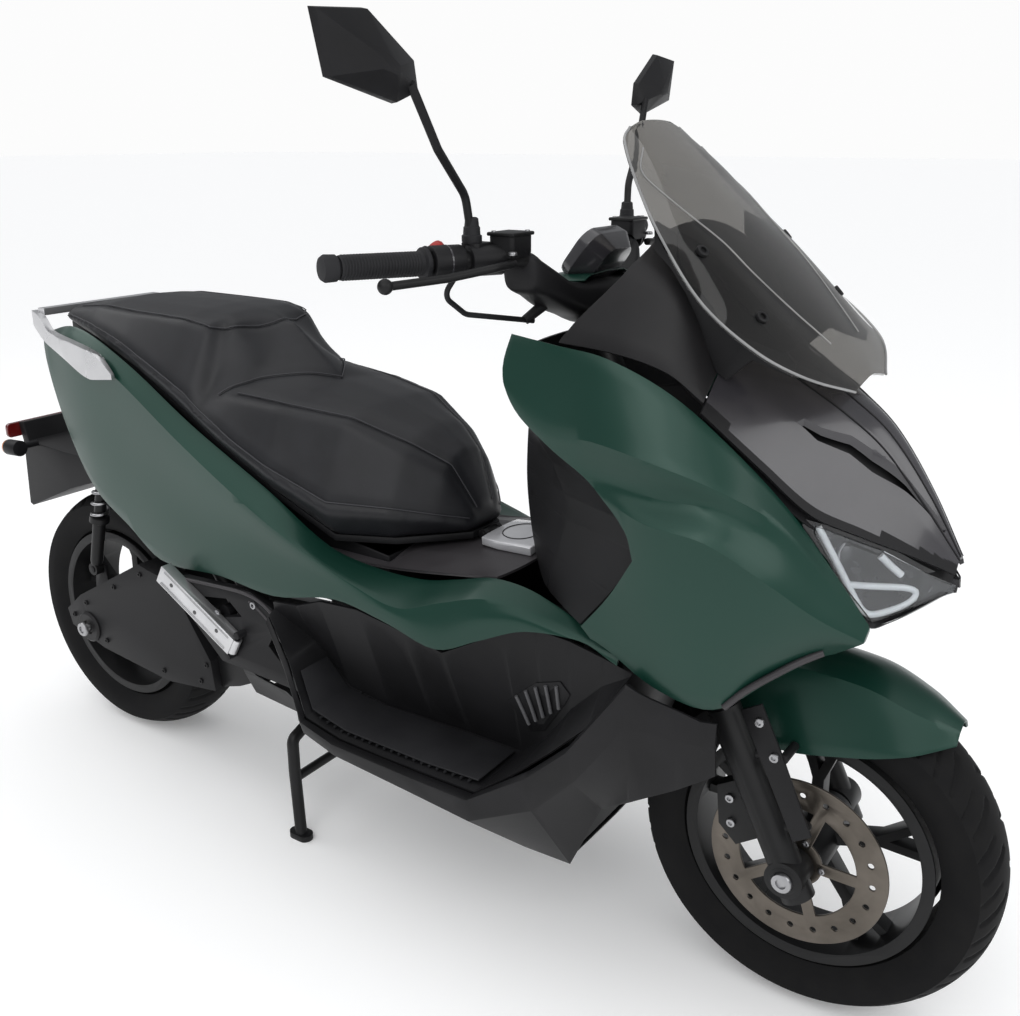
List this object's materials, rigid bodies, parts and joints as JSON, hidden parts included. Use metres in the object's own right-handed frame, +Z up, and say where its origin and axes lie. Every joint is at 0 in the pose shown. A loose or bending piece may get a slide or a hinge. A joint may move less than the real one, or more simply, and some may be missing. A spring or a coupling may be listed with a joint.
{
  "type": "electric maxi-scooter motorcycle",
  "caption": "Step-through electric maxi-scooter with moulded body panels, windscreen, stepped seat over a bin, front fork, swingarm rear drive and folding stands.",
  "frame": {"origin": "on the ground under the middle of the overall box, midway between the axles, on the centre plane", "axes": "+X forward, +Y to the rider's left, +Z up"},
  "size_m": [1.8598, 0.903, 1.252],
  "materials": {
    "amber_lens": "gloss",
    "battery_case": "matte",
    "black_metal": "satin",
    "black_plastic": "matte",
    "clear_lens": "clear",
    "disc_steel": "brushed",
    "gloss_black": "gloss",
    "green_paint": "satin",
    "grey_plastic": "matte",
    "mirror_glass": "polished",
    "red_lens": "gloss",
    "seat_vinyl": "textured",
    "silver_alloy": "satin",
    "smoked_screen": "smoked",
    "soft_rubber": "matte",
    "steel": "brushed",
    "tyre_rubber": "matte",
    "white_cap": "gloss"
  },
  "bodies": {
    "chassis": {"rear_calliper": "black_metal", "seat_hinge": "black_metal", "front_panels": "green_paint", "nose_panel": "gloss_black", "dash_cowl": "black_plastic", "windshield": "smoked_screen", "windshield_bracket": "black_plastic", "headlight_lens": "clear_lens", "headlight_housing": "gloss_black", "leg_shield": "black_plastic", "rear_panels": "green_paint", "tunnel_cover": "grey_plastic", "charge_cap": "white_cap", "foot_mats": "soft_rubber", "footboards": "black_plastic", "belly_panels": "grey_plastic", "belly_pan": "black_plastic", "wheel_apron": "black_plastic", "underseat_bin": "black_plastic", "grab_rail": "silver_alloy", "plate_holder": "black_plastic", "tail_lamp": "red_lens", "rear_indicators": "amber_lens", "rear_hugger": "black_plastic", "swingarm": "black_metal", "motor_cover": "black_plastic", "rear_axle": "steel", "rear_shocks": "black_metal", "peg_brackets": "black_plastic", "battery_pack": "battery_case", "frame": "black_metal"},
    "steering": {"front_axle": "steel", "fork_legs": "black_metal", "fork_yoke": "black_metal", "front_fender": "green_paint", "fender_stays": "black_plastic", "front_calliper": "black_metal", "handlebar": "black_metal", "grips": "soft_rubber", "switch_housings": "black_plastic", "master_cylinders": "black_plastic", "brake_levers": "black_metal", "handlebar_cover": "black_plastic", "handlebar_top_cover": "green_paint", "display": "gloss_black", "mirrors": "black_plastic", "mirror_glasses": "mirror_glass", "brake_hose": "soft_rubber"},
    "front_wheel": {"front_tyre": "tyre_rubber", "front_rim": "black_metal", "front_disc": "disc_steel"},
    "rear_wheel": {"rear_tyre": "tyre_rubber", "rear_rim": "black_metal", "rear_disc": "disc_steel"},
    "seat": {"seat_cushion": "seat_vinyl", "seat_base": "black_plastic"},
    "centre_stand": {"centre_stand": "black_metal"},
    "side_stand": {"side_stand": "black_metal"},
    "pillion_peg_right": {"pillion_peg_right": "silver_alloy"},
    "pillion_peg_left": {"pillion_peg_left": "silver_alloy"}
  },
  "joints": [
    {"name": "steering", "type": "hinge", "parent": "chassis", "child": "steering", "pos_m": [0.43979, 0, 0.6772], "axis": [-0.4462, 0, 0.8949], "range_deg": [-35, 35]},
    {"name": "front_wheel_spin", "type": "hinge", "parent": "steering", "child": "front_wheel", "pos_m": [0.6875, 0, 0.242], "axis": [0, 1, 0], "continuous": true},
    {"name": "rear_wheel_spin", "type": "hinge", "parent": "chassis", "child": "rear_wheel", "pos_m": [-0.6875, 0, 0.243], "axis": [0, 1, 0], "continuous": true},
    {"name": "seat_lid", "type": "hinge", "parent": "chassis", "child": "seat", "pos_m": [0.158, 0, 0.57], "axis": [0, 1, 0], "range_deg": [0, 45]},
    {"name": "centre_stand_fold", "type": "hinge", "parent": "chassis", "child": "centre_stand", "pos_m": [-0.156, 0, 0.19], "axis": [0, 1, 0], "range_deg": [0, 80]},
    {"name": "side_stand_swing", "type": "hinge", "parent": "chassis", "child": "side_stand", "pos_m": [0.096, 0.116, 0.166], "axis": [0, -0.7922, -0.6102], "range_deg": [0, 90]},
    {"name": "peg_right_fold", "type": "hinge", "parent": "chassis", "child": "pillion_peg_right", "pos_m": [-0.206, -0.1963, 0.36], "axis": [0.5, 0, 0.866], "range_deg": [0, 88]},
    {"name": "peg_left_fold", "type": "hinge", "parent": "chassis", "child": "pillion_peg_left", "pos_m": [-0.206, 0.1963, 0.36], "axis": [-0.5, 0, -0.866], "range_deg": [0, 88]}
  ]
}
